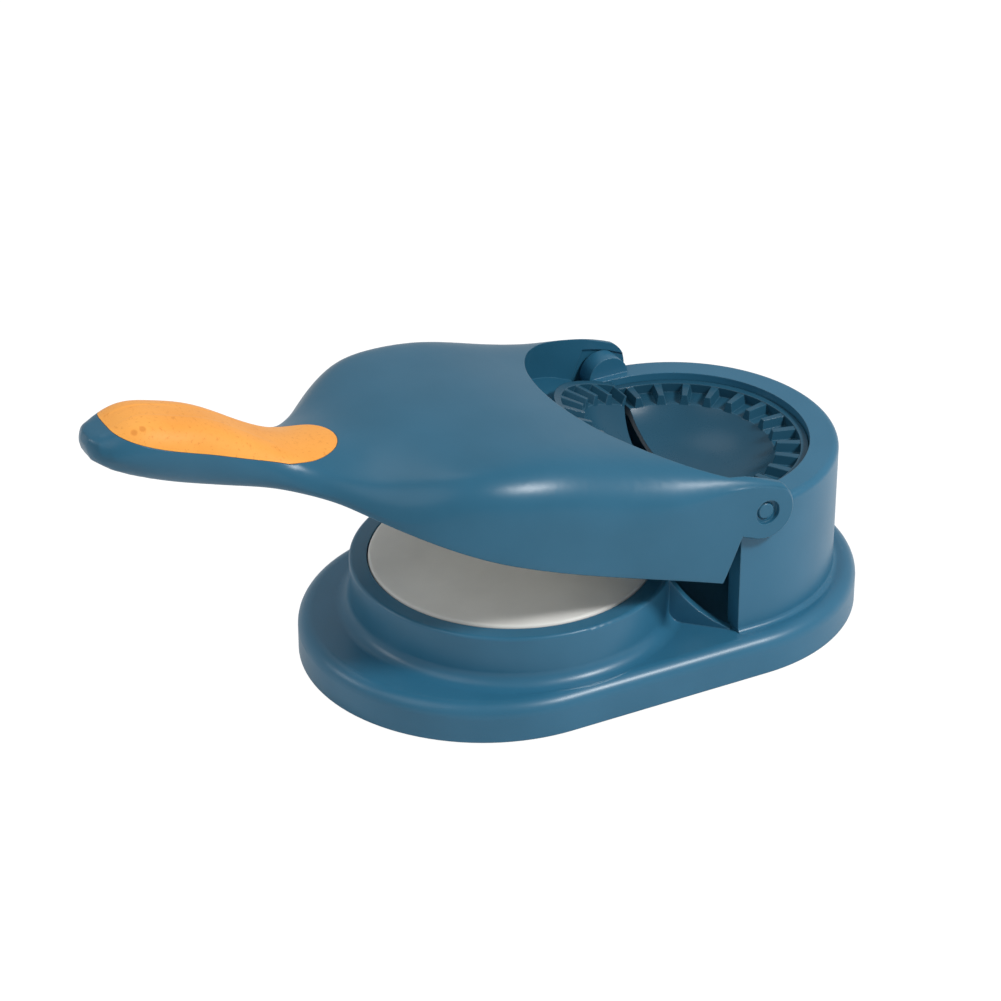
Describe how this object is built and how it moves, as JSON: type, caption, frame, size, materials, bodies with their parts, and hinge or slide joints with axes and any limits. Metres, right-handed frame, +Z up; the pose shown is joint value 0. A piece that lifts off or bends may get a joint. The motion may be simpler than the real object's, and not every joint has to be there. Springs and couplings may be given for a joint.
{
  "type": "dumpling maker",
  "caption": "Table-top hand press that flattens a round of dough under a hinged lever and folds it in a toothed two-part mould.",
  "frame": {"origin": "middle of the overall footprint on the table, with the lever as in the picture", "axes": "+X from the handle towards the tower, +Z up, the hinge along Y"},
  "size_m": [0.2588, 0.117, 0.1123],
  "materials": {
    "blue_shell": "satin moulded blue",
    "blue_mould": "satin moulded blue",
    "blue_cover": "matt moulded blue",
    "ivory_plate": "smooth ivory",
    "orange_grip": "soft orange with a fine grain",
    "pin_plastic": "satin moulded blue",
    "foot_rubber": "matt black",
    "screw_steel": "zinc-plated"
  },
  "bodies": {
    "base": {"base_shell": "blue_shell", "bottom_cover": "blue_cover", "bottom_cover_screws": "screw_steel", "foot_front": "foot_rubber", "foot_middle_left": "foot_rubber", "foot_middle_right": "foot_rubber", "foot_rear_left": "foot_rubber", "foot_rear_right": "foot_rubber", "dough_plate": "ivory_plate", "dough_plate_screws": "screw_steel", "rear_mould": "blue_mould", "rear_mould_screws": "screw_steel", "hinge_pin_left": "pin_plastic", "hinge_pin_right": "pin_plastic"},
    "lever": {"lever_shell": "blue_shell", "thumb_grip": "orange_grip", "lever_underside": "blue_cover", "lever_underside_screws": "screw_steel", "press_disc": "ivory_plate", "press_disc_screws": "screw_steel", "front_mould": "blue_mould", "front_mould_screws": "screw_steel"}
  },
  "joints": [
    {"name": "lever_hinge", "type": "hinge", "parent": "base", "child": "lever", "pos_m": [0.07015, 0, 0.0565], "axis": [0, 1, 0], "range_deg": [-22, 158]}
  ]
}
